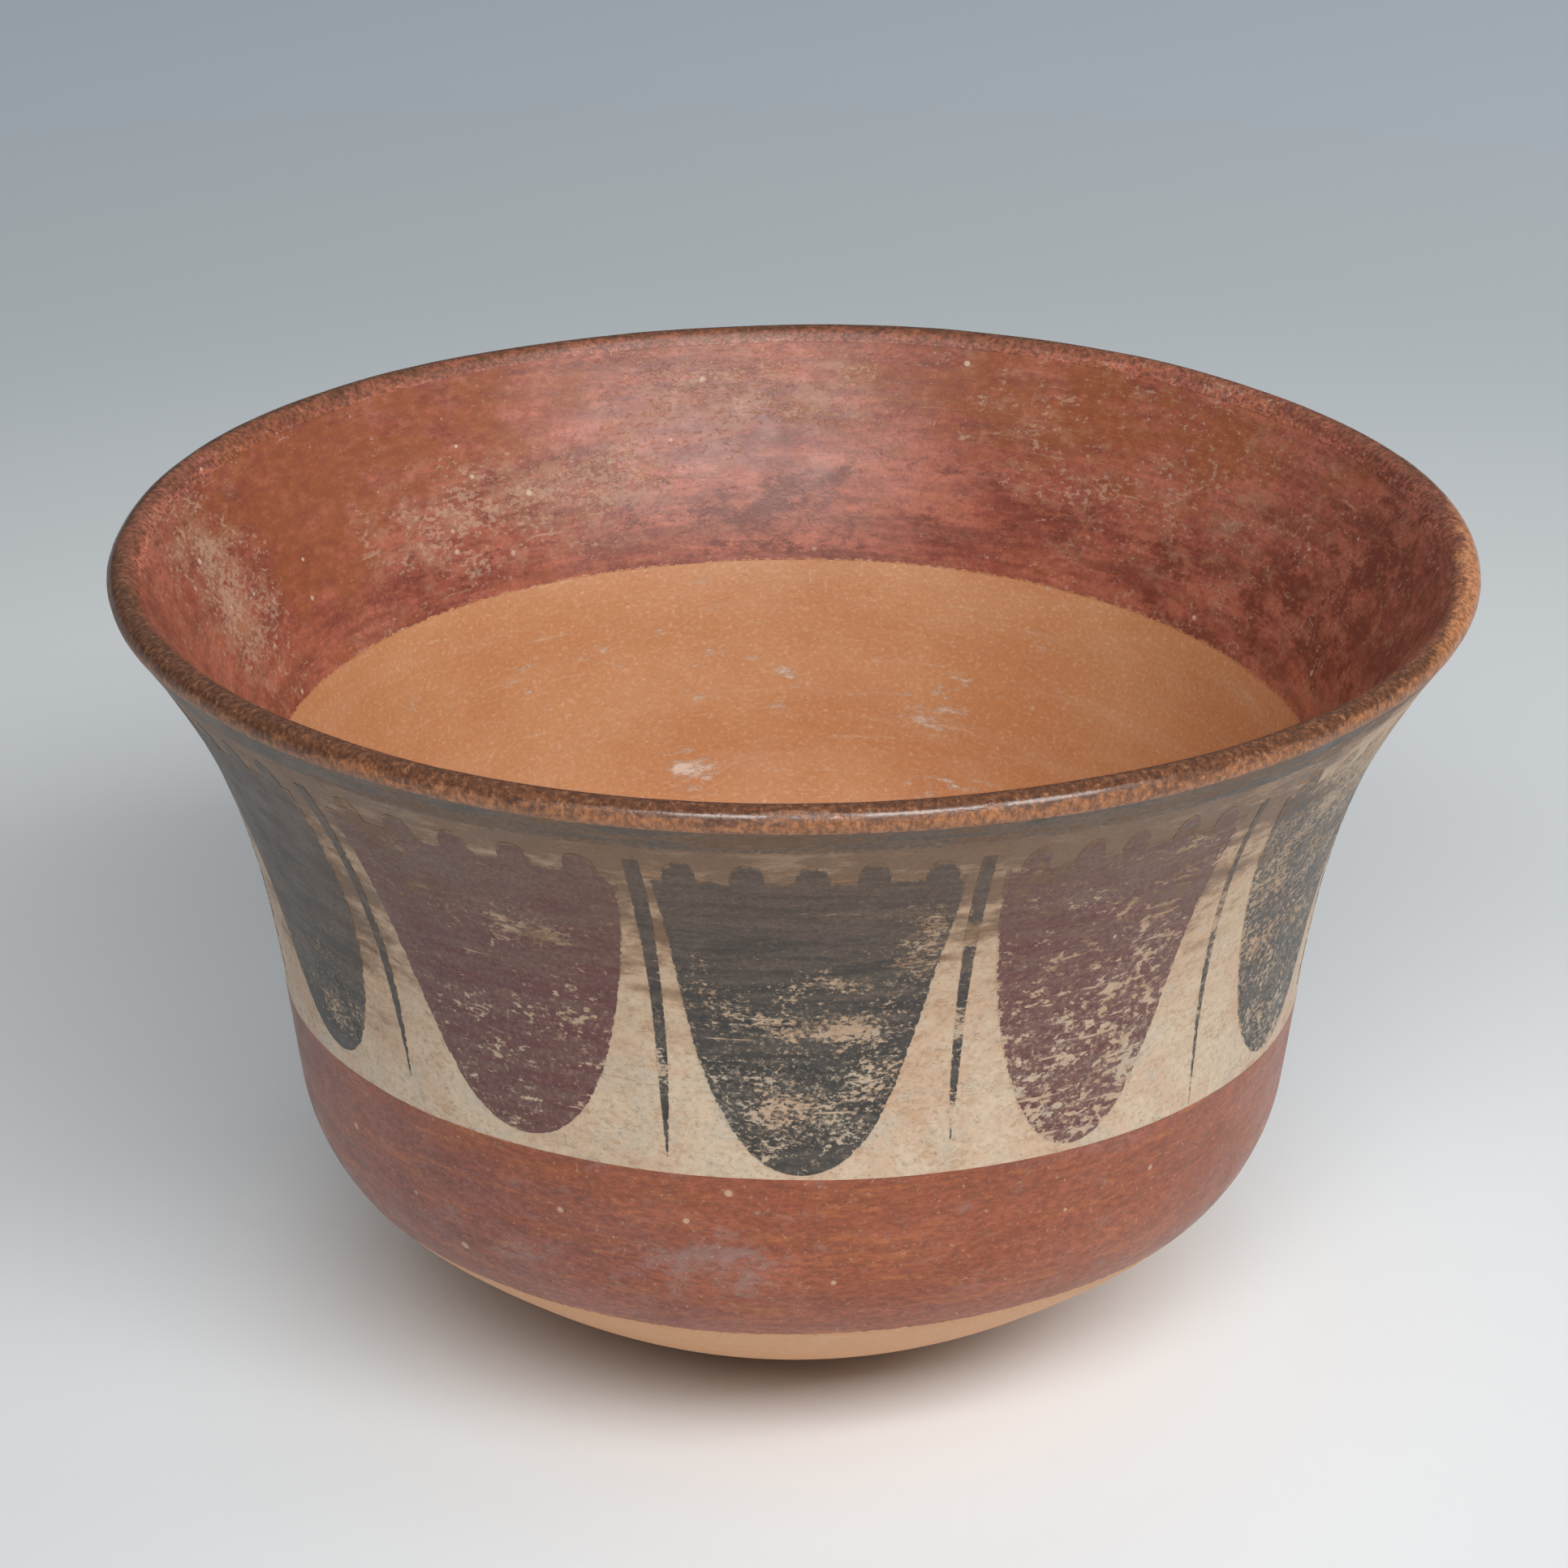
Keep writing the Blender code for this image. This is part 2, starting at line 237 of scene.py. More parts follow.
def hand_relief(x, y, z):
    """Return how far hand shaping moves the surface out at each place, and how far it lifts the rim."""
    angle = np.arctan2(x, -y)
    settled = ease(z, 3.0 * MM, 30.0 * MM)
    slow = 0.16 * np.sin(2.0 * angle - 2.0) - 0.13 * np.sin(3.0 * angle + 2.2 + 20.0 * z)
    slow += 0.06 * np.sin(5.0 * angle + 45.0 * z + 1.0)
    flat = np.stack([x, y, z], axis=-1).reshape(-1, 3)
    tool = [0.10 * noise.noise(Vector(p * 70.0)) + 0.035 * noise.noise(Vector(p * 260.0)) for p in flat]
    relief = (slow + np.array(tool).reshape(x.shape)) * settled * MM
    wave = 0.16 * np.sin(2.0 * angle + 1.9) + 0.10 * np.sin(5.0 * angle)
    return relief, wave * ease(z, 60.0 * MM, 100.0 * MM) * MM


def surface(angle, along, lift):
    """Return points on the bowl's surface, at an angle round it and a distance along its section."""
    radius = np.interp(along, ALONG, RADIUS)
    height = np.interp(along, ALONG, HEIGHT)
    out_r = np.interp(along, ALONG, OUT_R)
    out_z = np.interp(along, ALONG, OUT_Z)
    x = radius * np.sin(angle)
    y = -radius * np.cos(angle)
    relief, wave = hand_relief(x, y, height)
    under_slip = ease(along, inside(INNER_SLIP_LINE - 14.0 * MM), inside(INNER_SLIP_LINE))
    under_slip = under_slip * (1.0 - ease(along, outside(BARE_LINE), outside(BARE_LINE - 10.0 * MM)))
    out = (COVER - PAINT_LIFT) * under_slip + relief + lift
    x = x + out * out_r * np.sin(angle)
    y = y - out * out_r * np.cos(angle)
    return np.stack([x, y, height + out * out_z + wave], axis=-1)


# Meshes

def round_angles():
    """Return the angles of a ring's points, once round the bowl."""
    return np.arange(SEGMENTS) * (2.0 * math.pi / SEGMENTS) - math.pi


def grid_faces(rows, columns, ring):
    """Return the quads of a grid of points, closed round its columns or open."""
    across = columns if ring else columns - 1
    row, column = np.meshgrid(np.arange(rows - 1), np.arange(across), indexing="ij")
    beside = (column + 1) % columns
    below = (row + 1) * columns
    quads = [row * columns + column, row * columns + beside, below + beside, below + column]
    return np.stack(quads, axis=-1).reshape(-1, 4)


def rim_of_grid(rows, columns, ring):
    """Return the border points of a grid in order: one loop, or two if the grid is a ring."""
    index = np.arange(rows * columns).reshape(rows, columns)
    if ring:
        return [index[0], index[-1]]
    return [np.concatenate([index[0], index[1:, -1], index[-1, -2::-1], index[-2:0:-1, 0]])]


def flow_places(angle, along):
    """Return places for brush streaks: the section's distance takes the place of the height."""
    radius = np.interp(along, ALONG, RADIUS)
    return np.stack([radius * np.sin(angle), -radius * np.cos(angle), along], axis=-1).reshape(-1, 3)


def make_piece(name, points, flow, faces, material, values):
    """Make a named mesh object with its material and its painted values at each point."""
    mesh = bpy.data.meshes.new(name)
    mesh.from_pydata(points.tolist(), [], faces)
    for key, value in values.items():
        mesh.attributes.new(key, "FLOAT", "POINT").data.foreach_set("value", value.astype(np.float32))
    streaks = mesh.attributes.new("flow", "FLOAT_VECTOR", "POINT")
    streaks.data.foreach_set("vector", flow.astype(np.float32).ravel())
    shape = bmesh.new()
    shape.from_mesh(mesh)
    bmesh.ops.recalc_face_normals(shape, faces=shape.faces)
    shape.to_mesh(mesh)
    shape.free()
    mesh.shade_smooth()
    mesh.set_sharp_from_angle(angle=math.radians(40.0))
    mesh.materials.append(material)
    piece = bpy.data.objects.new(name, mesh)
    bpy.context.scene.collection.objects.link(piece)
    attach(piece, "root")
    return piece


def make_coat(name, angle, along, lift, ring, material, values):
    """Make a thin coat that lies on the bowl: a closed shell over a grid of angles and distances."""
    rows, columns = angle.shape
    face = surface(angle, along, lift).reshape(-1, 3)
    back = surface(angle, along, lift - COAT_DEPTH).reshape(-1, 3)
    quads = grid_faces(rows, columns, ring)
    count = rows * columns
    faces = quads.tolist() + (quads[:, ::-1] + count).tolist()
    for loop in rim_of_grid(rows, columns, ring):
        after = np.roll(loop, -1)
        faces += np.stack([loop, after, after + count, loop + count], axis=-1).tolist()
    doubled = {key: np.tile(value.reshape(-1), 2) for key, value in values.items()}
    flow = np.tile(flow_places(angle, along), (2, 1))
    return make_piece(name, np.concatenate([face, back]), flow, faces, material, doubled)


def ring_grid(start, end, step):
    """Return a ring's angles, its distances between two edges, how far each is from both and its share."""
    angle = round_angles()
    first = np.broadcast_to(start(angle), angle.shape)
    last = np.broadcast_to(end(angle), angle.shape)
    share = np.linspace(0.0, 1.0, int(np.max(last - first) / step) + 2)[:, None]
    along = first + share * (last - first)
    angle = np.broadcast_to(angle, along.shape)
    return angle, along, along - first, last - along, np.broadcast_to(share, along.shape)


def patches(angle, height, spots):
    """Return a soft mask of patches, each an angle, a height, a half width, a half height and a strength."""
    total = np.zeros_like(height)
    for spot_angle, spot_height, wide, tall, strength in spots:
        turn = (np.degrees(angle) - spot_angle + 180.0) % 360.0 - 180.0
        total += strength * np.exp(-((turn / wide) ** 2) - ((height / MM - spot_height) / tall) ** 2)
    return total


def height_at(along):
    """Return the height at a distance along the section."""
    return np.interp(along, ALONG, HEIGHT)


def hand_line(height, sway, seed):
    """Return a function of the angle for a line that a brush drew round the bowl at a height."""
    draw = random.Random(seed)
    counts = (1, 2, 3, 5, 8, 13, 21)
    waves = [(turns, draw.uniform(-1.0, 1.0), draw.uniform(0.0, 6.3)) for turns in counts]

    def line(angle):
        sways = [size * np.sin(turns * angle + phase) / math.sqrt(turns) for turns, size, phase in waves]
        return height + sway * sum(sways)

    return line


# Node trees

class Net:
    """A material's node tree, written in a short way."""

    def __init__(self, name, place="flow"):
        self.material = bpy.data.materials.new(name)
        self.material.use_nodes = True
        self.tree = self.material.node_tree
        self.tree.nodes.clear()
        self.object = self.add("TexCoord").outputs["Object"]
        self.place = self.object
        if place:
            self.place = self.add("Attribute", attribute_name=place).outputs["Vector"]

    def add(self, kind, **settings):
        node = self.tree.nodes.new("ShaderNode" + kind)
        for key, value in settings.items():
            setattr(node, key, value)
        return node

    def put(self, socket, value):
        if isinstance(value, bpy.types.NodeSocket):
            self.tree.links.new(value, socket)
        elif hasattr(value, "__len__") and len(socket.default_value) == 4:
            socket.default_value = (*value, 1.0)[:4]
        else:
            socket.default_value = value

    def math(self, operation, a, b=0.0, clamp=False):
        node = self.add("Math", operation=operation, use_clamp=clamp)
        self.put(node.inputs[0], a)
        self.put(node.inputs[1], b)
        return node.outputs[0]

    def plus(self, value, other, times=1.0):
        """The sum of a value and a number of times another."""
        return self.math("ADD", value, self.math("MULTIPLY", other, times))

    def mix(self, share, a, b):
        node = self.add("MixRGB")
        self.put(node.inputs[0], share)
        self.put(node.inputs[1], a)
        self.put(node.inputs[2], b)
        return node.outputs[0]

    def between(self, value, low, high, to_low=0.0, to_high=1.0):
        """A smooth change of the value from low to high into another range; low may be the larger."""
        node = self.add("MapRange", interpolation_type="SMOOTHSTEP")
        self.put(node.inputs[0], value)
        self.put(node.inputs[1], low)
        self.put(node.inputs[2], high)
        self.put(node.inputs[3], to_low)
        self.put(node.inputs[4], to_high)
        return node.outputs[0]

    def spread(self, size, stretch, seed):
        """Places on the bowl in units of a size, drawn out where stretch is under 1."""
        node = self.add("Mapping")
        self.put(node.inputs["Vector"], self.place)
        self.put(node.inputs["Location"], (seed, -seed, 0.7 * seed))
        self.put(node.inputs["Scale"], tuple(share / size for share in stretch))
        return node.outputs[0]

    def noise(self, size, detail=4.0, rough=0.55, stretch=(1.0, 1.0, 1.0), seed=0.0, gain=1.0):
        """Noise about 0.5 with features of about this size in metres, made stronger by a gain."""
        node = self.add("TexNoise")
        self.put(node.inputs["Vector"], self.spread(size, stretch, seed))
        self.put(node.inputs["Scale"], 1.0)
        self.put(node.inputs["Detail"], detail)
        self.put(node.inputs["Roughness"], rough)
        if gain == 1.0:
            return node.outputs[0]
        return self.plus(0.5, self.math("SUBTRACT", node.outputs[0], 0.5), gain)

    def specks(self, pitch, width, share, seed):
        """A mask of small separate dots, on a share of the cells of this pitch."""
        cells = self.add("TexVoronoi")
        self.put(cells.inputs["Vector"], self.spread(pitch, (1.0, 1.0, 1.0), seed))
        self.put(cells.inputs["Scale"], 1.0)
        pick = self.add("SeparateColor")
        self.put(pick.inputs[0], cells.outputs["Color"])
        reach = self.between(pick.outputs[1], 0.0, 1.0, 0.25 * width / pitch, 0.5 * width / pitch)
        dot = self.between(self.math("DIVIDE", cells.outputs["Distance"], reach), 1.0, 0.6)
        return self.math("MULTIPLY", dot, self.between(pick.outputs[0], share, share - 0.01))

    def value(self, name):
        return self.add("Attribute", attribute_name=name).outputs["Fac"]

    def height(self):
        node = self.add("SeparateXYZ")
        self.put(node.inputs[0], self.object)
        return node.outputs[2]

    def shade(self, colour, share, low, high):
        """The colour made darker or lighter, from low to high as share goes up."""
        node = self.add("VectorMath", operation="SCALE")
        self.put(node.inputs[0], colour)
        self.put(node.inputs["Scale"], self.between(share, 0.25, 0.75, low, high))
        return node.outputs[0]

    def finish(self, colour, roughness, relief, depth, index=1.5):
        """Close the tree with a Principled shader, with its relief as fine bumps of a depth in metres."""
        bump = self.add("Bump")
        self.put(bump.inputs["Height"], relief)
        bump.inputs["Distance"].default_value = depth
        bump.inputs["Strength"].default_value = 1.0
        shader = self.add("BsdfPrincipled")
        self.put(shader.inputs["Base Color"], colour)
        self.put(shader.inputs["Roughness"], roughness)
        shader.inputs["IOR"].default_value = index
        self.put(shader.inputs["Normal"], bump.outputs[0])
        output = self.add("OutputMaterial")
        self.tree.links.new(shader.outputs[0], output.inputs[0])
        return self.material


# Colours, as linear reflectance
CLAY_TAN = (0.585, 0.288, 0.136)
CLAY_ORANGE = (0.535, 0.235, 0.100)
CLAY_PALE = (0.620, 0.390, 0.250)
CLAY_DRY = (0.675, 0.335, 0.152)
RED_DEEP = (0.240, 0.058, 0.037)
RED_BRIGHT = (0.390, 0.126, 0.080)
RED_MAROON = (0.165, 0.040, 0.024)
RED_WORN_AND_SHEEN = (0.440, 0.234, 0.142)
RED_CHALK = (0.560, 0.370, 0.260)
RED_BROWN = (0.290, 0.088, 0.030)
RED_FLAME = (0.420, 0.140, 0.076)
PLUM_RED = (0.232, 0.071, 0.047)
RED_ORANGE = (0.285, 0.072, 0.023)
RED_EMBER = (0.420, 0.130, 0.038)
RED_SMOKE = (0.320, 0.210, 0.185)
CREAM = (0.620, 0.475, 0.335)
CREAM_PINK = (0.590, 0.410, 0.280)
CREAM_GREY = (0.540, 0.450, 0.345)
CREAM_TAN = (0.520, 0.330, 0.200)
GRIME = (0.168, 0.088, 0.044)
BLACK = (0.034, 0.029, 0.025)
BLACK_SOFT = (0.078, 0.065, 0.053)
PLUM = (0.128, 0.039, 0.035)
PLUM_SOFT = (0.155, 0.074, 0.060)
LIP_DARK = (0.138, 0.051, 0.022)
LIP_RED = (0.212, 0.069, 0.032)
LIP_BROWN = (0.295, 0.112, 0.040)
LIP_ORANGE = (0.520, 0.220, 0.100)
LIP_FLECK = (0.430, 0.225, 0.100)
DUST = (0.680, 0.540, 0.420)
CHALK = (0.760, 0.640, 0.540)

# Index of refraction of the polished lip
LIP_INDEX = 1.65

# How far noise is drawn out round the bowl for brush streaks and for scratches
STREAKS = (1.0, 1.0, 7.0)
SCRATCHES = (1.0, 1.0, 15.0)


def clay_look(net):
    """Bare fired clay: blotches, burnishing lines round the bowl, pale grains and a dry, pale underside."""
    blotch = net.noise(30.0 * MM, 6.0, 0.62, (1.0, 1.0, 1.5), seed=3.1)
    colour = net.mix(net.between(blotch, 0.36, 0.64), CLAY_ORANGE, CLAY_TAN)
    lines = net.noise(24.0 * MM, 8.0, 0.68, STREAKS, seed=1.7)
    colour = net.mix(net.between(lines, 0.46, 0.74, 0.0, 0.30), colour, CLAY_PALE)
    colour = net.mix(net.value("dry"), colour, CLAY_DRY)
    grains = net.noise(0.7 * MM, 5.0, 0.72, (1.0, 1.0, 1.4), seed=9.0)
    colour = net.mix(net.between(grains, 0.52, 0.74, 0.0, 0.45), colour, DUST)
    colour = net.shade(colour, grains, 0.90, 1.06)
    scratches = net.noise(16.0 * MM, 7.0, 0.66, SCRATCHES, seed=23.0)
    colour = net.mix(net.between(scratches, 0.60, 0.74, 0.0, 0.40), colour, DUST)
    return net.mix(net.math("MULTIPLY", net.specks(3.4 * MM, 0.9 * MM, 0.4, 5.5), 0.35), colour, DUST)


def red_look(net):
    """Red slip: brush streaks round the bowl over a change from deep to bright red, with a fine grain."""
    blotch = net.noise(24.0 * MM, 6.0, 0.64, (1.0, 1.0, 2.0), seed=2.4)
    colour = net.mix(net.between(blotch, 0.36, 0.64), RED_DEEP, RED_BRIGHT)
    lines = net.noise(14.0 * MM, 9.0, 0.74, STREAKS, seed=8.2, gain=2.0)
    colour = net.shade(colour, lines, 0.72, 1.28)
    grit = net.noise(0.7 * MM, 5.0, 0.72, seed=4.0)
    return net.shade(colour, grit, 0.74, 1.26)


def cream_look(net):
    """Cream slip: pink, grey and tan clouds, fine dirt and the grime that gathers under the rim, with painted
    shade on the left side.
    """
    cloud = net.noise(11.0 * MM, 8.0, 0.70, (1.0, 1.0, 0.9), seed=6.3, gain=1.5)
    colour = net.mix(net.between(cloud, 0.44, 0.60), CREAM, CREAM_PINK)
    grey = net.noise(7.0 * MM, 8.0, 0.72, seed=11.0, gain=1.4)
    colour = net.mix(net.between(grey, 0.50, 0.64, 0.0, 0.75), colour, CREAM_GREY)
    stain = net.noise(8.0 * MM, 9.0, 0.76, (1.0, 1.0, 2.2), seed=14.0)
    colour = net.mix(net.between(stain, 0.51, 0.64, 0.0, 0.55), colour, CREAM_TAN)
    streaks = net.noise(12.0 * MM, 8.0, 0.72, (1.0, 1.0, 3.0), seed=2.9, gain=1.5)
    level = net.math("ADD", net.height(), net.between(streaks, 0.25, 0.75, -11.0 * MM, 11.0 * MM))
    # Negative grime offsets raise the level: painted shade on the left side.
    level = net.plus(level, net.value("grime_and_shade_offset"), -20.0 * MM)
    colour = net.mix(net.between(level, 54.0 * MM, 84.0 * MM, 0.0, 0.80), colour, CREAM_TAN)
    colour = net.mix(net.between(level, 74.0 * MM, 93.0 * MM, 0.0, 0.92), colour, GRIME)
    dirt = net.noise(0.8 * MM, 6.0, 0.76, seed=7.0)
    colour = net.mix(net.between(dirt, 0.54, 0.70, 0.0, 0.42), colour, GRIME)
    return net.shade(colour, dirt, 1.16, 0.88)


def ragged(net, reach):
    """A mask that is 1 inside a painted shape and frays to 0 at its edge."""
    fray = net.noise(0.9 * MM, 4.0, 0.65, seed=13.0)
    inset = net.math("ADD", net.value("edge"), net.between(fray, 0.25, 0.75, -reach, reach))
    return net.between(inset, 0.0, 0.16 * MM)


def flaked(net, seed, grain=1.1):
    """A mask of fine flakes and scratches: few where the wear is below 0, and half gone where it is 1."""
    cluster = net.noise(6.0 * MM, 5.0, 0.62, (1.0, 1.0, 1.4), seed=seed)
    level = net.plus(net.value("wear"), net.math("SUBTRACT", cluster, 0.5), 3.4)
    flakes = net.noise(grain * MM, 5.0, 0.66, (1.0, 1.0, 1.5), seed=seed + 1.0)
    flake = net.between(net.plus(flakes, level, 0.16), 0.60, 0.68)
    scratches = net.noise(13.0 * MM, 6.0, 0.62, SCRATCHES, seed=seed + 2.0)
    scratch = net.between(net.plus(scratches, level, 0.07), 0.66, 0.71)
    return net.math("MAXIMUM", flake, scratch)


def matt_where(net, mask, polished, dull):
    """Roughness that is polished on the paint and dull where it is worn."""
    patch = net.noise(5.0 * MM, 4.0, 0.6, seed=17.0)
    base = net.between(patch, 0.3, 0.7, polished - 0.04, polished + 0.06)
    return net.math("ADD", base, net.math("MULTIPLY", mask, dull - polished), clamp=True)


def fine_relief(net, mask, seed):
    """Height of fine grit and pits, with worn places lower."""
    grit = net.noise(0.5 * MM, 4.0, 0.6, seed=seed)
    pits = net.noise(2.4 * MM, 3.0, 0.5, seed=seed + 2.0)
    height = net.math("ADD", net.math("MULTIPLY", grit, 0.6), net.between(pits, 0.24, 0.36, 0.0, 0.5))
    return net.plus(height, mask, -0.5)


def fired_clay():
    """Bare clay, rubbed chalky where things were set down in the bowl."""
    net = Net("fired_clay")
    scuff = net.noise(5.0 * MM, 9.0, 0.76, (1.0, 1.0, 2.6), seed=21.0, gain=2.2)
    rub = net.between(net.plus(scuff, net.value("wear"), 0.26), 0.72, 1.02)
    colour = net.mix(net.math("MULTIPLY", rub, 0.75), clay_look(net), CHALK)
    return net.finish(colour, matt_where(net, rub, 0.48, 0.66), fine_relief(net, rub, 31.0), 0.10 * MM)


def interior_look(net):
    """Return the colour of the red slip inside, with a painted sheen at the back top and painted shade on the
    right wall, and a mask of where it is rubbed.
    """
    tint = net.noise(9.0 * MM, 10.0, 0.78, (1.0, 1.0, 1.8), seed=39.0, gain=2.4)
    tint = net.plus(tint, net.value("tint"), 0.4)
    # Low tint turns the slip maroon; on the right wall this is partly painted shade.
    colour = net.mix(net.between(tint, 0.42, 0.16), red_look(net), RED_MAROON)
    colour = net.mix(net.between(tint, 0.52, 0.86, 0.0, 0.85), colour, RED_BROWN)
    mottle = net.noise(2.2 * MM, 8.0, 0.78, (1.0, 1.0, 1.8), seed=37.0, gain=2.4)
    colour = net.mix(net.between(mottle, 0.50, 0.80, 0.0, 0.60), colour, RED_FLAME)
    colour = net.mix(net.between(mottle, 0.50, 0.20, 0.0, 0.60), colour, RED_DEEP)
    cloud = net.noise(5.0 * MM, 11.0, 0.80, (1.0, 1.0, 1.5), seed=41.0, gain=2.2)
    # The pale film is worn slip, and at the back top it is also a painted sheen.
    worn_film_and_sheen = net.between(net.plus(cloud, net.value("wear"), 0.34), 0.54, 0.92, 0.0, 0.60)
    colour = net.mix(worn_film_and_sheen, colour, RED_WORN_AND_SHEEN)
    rub = flaked(net, 43.0, 1.0)
    colour = net.mix(net.math("MULTIPLY", rub, 0.45), colour, RED_CHALK)
    near = net.between(net.plus(cloud, net.value("wear"), 0.40), 0.62, 0.80)
    dots = net.math("MULTIPLY", net.specks(2.6 * MM, 1.3 * MM, 0.25, 45.0), near)
    dots = net.math("MAXIMUM", dots, net.specks(6.0 * MM, 1.3 * MM, 0.4, 44.0))
    return net.mix(net.math("MULTIPLY", dots, 0.7), colour, DUST), rub


def interior_red():
    """The red slip inside, frayed at its lower edge."""
    net = Net("interior_red_slip")
    colour, rub = interior_look(net)
    colour = net.mix(ragged(net, 0.25 * MM), clay_look(net), colour)
    return net.finish(colour, matt_where(net, rub, 0.36, 0.56), fine_relief(net, rub, 47.0), 0.05 * MM)


def lower_red():
    """The red slip round the shoulder: plum to orange, with dust, bright brushwork and pale spots."""
    net = Net("lower_red_slip")
    cloud = net.noise(22.0 * MM, 9.0, 0.72, (1.0, 1.0, 4.5), seed=51.0)
    tint = net.plus(cloud, net.value("tint"), 0.30)
    colour = net.mix(net.between(tint, 0.40, 0.62), PLUM_RED, RED_ORANGE)
    colour = net.mix(0.30, colour, red_look(net))
    brush = net.noise(16.0 * MM, 9.0, 0.74, (1.0, 1.0, 9.0), seed=52.0, gain=2.4)
    colour = net.mix(net.between(brush, 0.52, 0.90, 0.0, 0.70), colour, RED_EMBER)
    mottle = net.noise(1.3 * MM, 7.0, 0.76, (1.0, 1.0, 2.2), seed=55.0, gain=2.2)
    colour = net.shade(colour, mottle, 0.78, 1.22)
    haze = net.noise(5.0 * MM, 10.0, 0.80, (1.0, 1.0, 1.6), seed=53.0)
    dusty = net.between(net.plus(haze, net.value("wear"), 0.16), 0.54, 0.70, 0.0, 0.6)
    colour = net.mix(dusty, colour, RED_SMOKE)
    grains = net.noise(0.7 * MM, 5.0, 0.72, seed=57.0)
    colour = net.mix(net.between(grains, 0.58, 0.70, 0.0, 0.55), colour, CLAY_PALE)
    spots = net.specks(4.6 * MM, 1.6 * MM, 0.40, 58.0)
    colour = net.mix(net.math("MULTIPLY", spots, 0.8), colour, CLAY_PALE)
    colour = net.mix(ragged(net, 0.2 * MM), clay_look(net), colour)
    return net.finish(colour, matt_where(net, dusty, 0.38, 0.58), fine_relief(net, spots, 59.0), 0.09 * MM)


def cream_slip():
    """The cream ground of the painting, a little flaked."""
    net = Net("cream_slip")
    rub = flaked(net, 61.0)
    colour = net.mix(net.math("MULTIPLY", rub, 0.30), cream_look(net), CLAY_TAN)
    return net.finish(colour, matt_where(net, rub, 0.44, 0.60), fine_relief(net, rub, 67.0), 0.08 * MM)


def tongue_paint(name, dark, soft, seed, grain):
    """Thin paint over the cream: brush streaks, grime near the rim with painted shade on the left side, thin
    spots, flakes and frayed edges.
    """
    net = Net(name)
    streak = net.noise(12.0 * MM, 8.0, 0.70, STREAKS, seed=seed)
    colour = net.mix(net.between(streak, 0.38, 0.64), dark, soft)
    level = net.math("ADD", net.height(), net.between(streak, 0.25, 0.75, -8.0 * MM, 8.0 * MM))
    # Negative grime offsets add grime here too: painted shade on the left side.
    level = net.plus(level, net.value("grime_and_shade_offset"), -20.0 * MM)
    colour = net.mix(net.between(level, 66.0 * MM, 96.0 * MM, 0.0, 0.40), colour, GRIME)
    grit = net.noise(0.6 * MM, 5.0, 0.72, seed=seed + 1.0)
    colour = net.shade(colour, grit, 0.60, 1.45)
    bare = flaked(net, seed + 2.0, grain)
    thin = net.noise(0.8 * MM, 6.0, 0.76, seed=seed + 7.0)
    thin = net.between(net.plus(thin, net.value("wear"), 0.09), 0.55, 0.70, 0.0, 0.5)
    worn = net.math("MAXIMUM", net.math("MULTIPLY", bare, 0.82), thin)
    cover = net.math("MULTIPLY", ragged(net, 0.20 * MM), net.math("SUBTRACT", 1.0, worn))
    colour = net.mix(cover, cream_look(net), colour)
    rough = matt_where(net, bare, 0.42, 0.60)
    return net.finish(colour, rough, fine_relief(net, bare, seed + 5.0), 0.08 * MM)


def grey_band():
    """The worn dark band under the lip, which lets the cream through."""
    net = Net("rim_grey_band")
    streak = net.noise(16.0 * MM, 9.0, 0.74, (1.0, 1.0, 10.0), seed=83.0)
    colour = net.mix(net.between(streak, 0.36, 0.60), BLACK_SOFT, GRIME)
    grit = net.noise(0.7 * MM, 5.0, 0.74, seed=85.0)
    colour = net.shade(colour, grit, 0.65, 1.40)
    bare = net.between(net.plus(streak, net.value("wear"), 0.2), 0.55, 0.66)
    kept = net.math("SUBTRACT", 1.0, net.math("MULTIPLY", bare, 0.8))
    cover = net.math("MULTIPLY", ragged(net, 0.9 * MM), kept)
    colour = net.mix(cover, cream_look(net), colour)
    return net.finish(colour, matt_where(net, bare, 0.44, 0.58), fine_relief(net, bare, 87.0), 0.08 * MM)


def rim_paint():
    """Polished lip: the inside's red, a dark crust over the top and a brown edge that rubs to orange."""
    net = Net("rim_dark_paint")
    streak = net.noise(8.0 * MM, 9.0, 0.78, (1.0, 1.0, 4.0), seed=91.0, gain=2.4)
    across = net.plus(net.value("across"), net.math("SUBTRACT", streak, 0.5), 0.45)
    rubbed = net.value("rubbed")
    outer = net.mix(net.between(rubbed, 0.0, 0.5), LIP_BROWN, LIP_ORANGE)
    crust = net.plus(across, net.value("bare"), -0.22)
    inner = net.mix(net.between(crust, -0.02, 0.16, 0.0, 0.8), interior_look(net)[0], LIP_RED)
    colour = net.mix(net.between(crust, 0.26, 0.36), inner, LIP_DARK)
    edge = net.between(net.plus(across, rubbed, 0.90), 0.68, 0.86)
    colour = net.mix(edge, colour, outer)
    grit = net.noise(0.7 * MM, 6.0, 0.76, seed=96.0, gain=2.2)
    colour = net.shade(colour, grit, 0.56, 1.46)
    flecks = net.math("MULTIPLY", net.between(grit, 0.66, 0.80, 0.0, 0.5), net.between(across, 0.36, 0.50))
    colour = net.mix(flecks, colour, LIP_FLECK)
    place = net.value("across")
    dull = net.math("MAXIMUM", net.between(place, 0.45, 0.30), net.between(place, 0.66, 0.80))
    rough = matt_where(net, dull, 0.19, 0.44)
    return net.finish(colour, rough, fine_relief(net, edge, 97.0), 0.05 * MM, LIP_INDEX)


# Pieces

